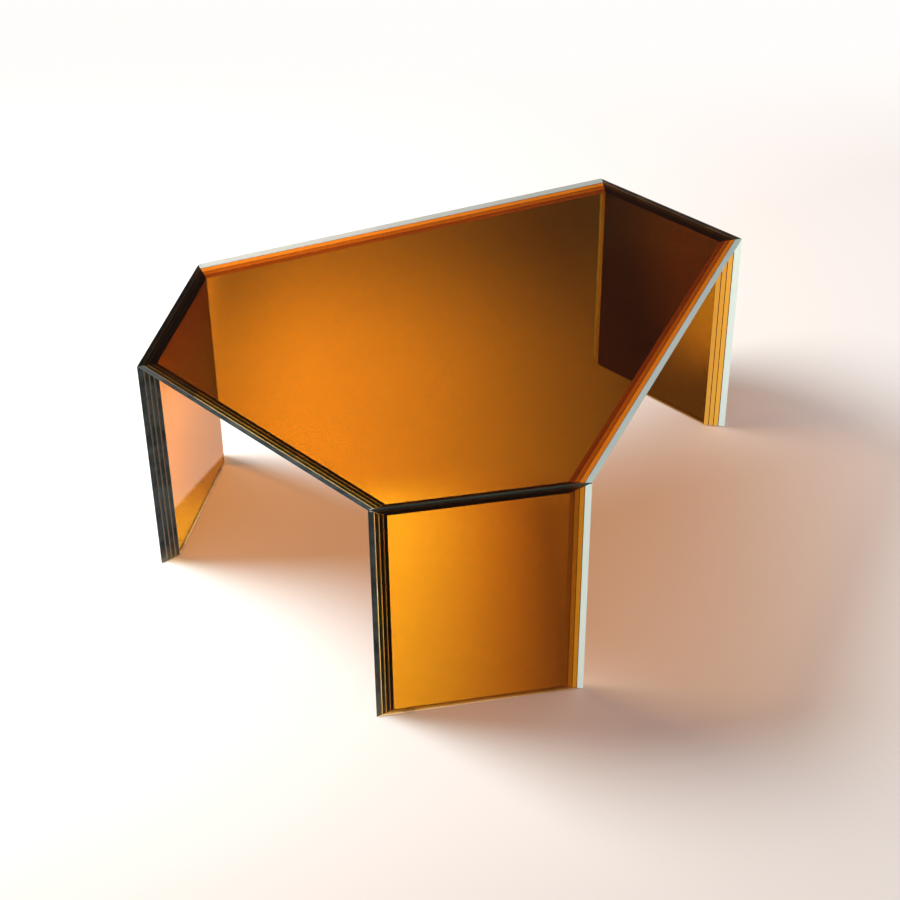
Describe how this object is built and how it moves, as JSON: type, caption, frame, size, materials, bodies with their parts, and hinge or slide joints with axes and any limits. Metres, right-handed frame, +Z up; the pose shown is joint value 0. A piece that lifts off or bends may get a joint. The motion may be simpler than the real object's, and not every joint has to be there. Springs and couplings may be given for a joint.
{
  "type": "low glass table",
  "caption": "Low table of amber laminated glass: a six-sided bevelled top mitred to upright glass panel legs.",
  "frame": {"origin": "on the floor, at the bottom centre of the table's box", "axes": "+Z up; the long front edge of the top faces -Y; the rear leg stands at +Y; the table is a mirror image of itself across the YZ plane"},
  "size_m": [0.7868, 0.8648, 0.35],
  "materials": {
    "clear_glass": "polished clear float glass with a faint blue-green edge",
    "amber_interlayer": "clear amber laminating film",
    "mitre_adhesive": "dark brown cured adhesive",
    "foot_pad": "clear soft pad"
  },
  "bodies": {
    "root": {"top_outer_ply": "clear_glass", "top_amber_film_1": "amber_interlayer", "top_inner_ply_1": "clear_glass", "top_amber_film_2": "amber_interlayer", "top_inner_ply_2": "clear_glass", "top_amber_film_3": "amber_interlayer", "top_inner_ply_3": "clear_glass", "right_leg_outer_ply": "clear_glass", "right_leg_amber_film_1": "amber_interlayer", "right_leg_inner_ply_1": "clear_glass", "right_leg_amber_film_2": "amber_interlayer", "right_leg_inner_ply_2": "clear_glass", "right_leg_amber_film_3": "amber_interlayer", "right_leg_inner_ply_3": "clear_glass", "right_leg_mitre_seam": "mitre_adhesive", "right_leg_foot_pad_a": "foot_pad", "right_leg_foot_pad_b": "foot_pad", "rear_leg_outer_ply": "clear_glass", "rear_leg_amber_film_1": "amber_interlayer", "rear_leg_inner_ply_1": "clear_glass", "rear_leg_amber_film_2": "amber_interlayer", "rear_leg_inner_ply_2": "clear_glass", "rear_leg_amber_film_3": "amber_interlayer", "rear_leg_inner_ply_3": "clear_glass", "rear_leg_mitre_seam": "mitre_adhesive", "rear_leg_foot_pad_a": "foot_pad", "rear_leg_foot_pad_b": "foot_pad", "left_leg_outer_ply": "clear_glass", "left_leg_amber_film_1": "amber_interlayer", "left_leg_inner_ply_1": "clear_glass", "left_leg_amber_film_2": "amber_interlayer", "left_leg_inner_ply_2": "clear_glass", "left_leg_amber_film_3": "amber_interlayer", "left_leg_inner_ply_3": "clear_glass", "left_leg_mitre_seam": "mitre_adhesive", "left_leg_foot_pad_a": "foot_pad", "left_leg_foot_pad_b": "foot_pad"}
  },
  "joints": []
}
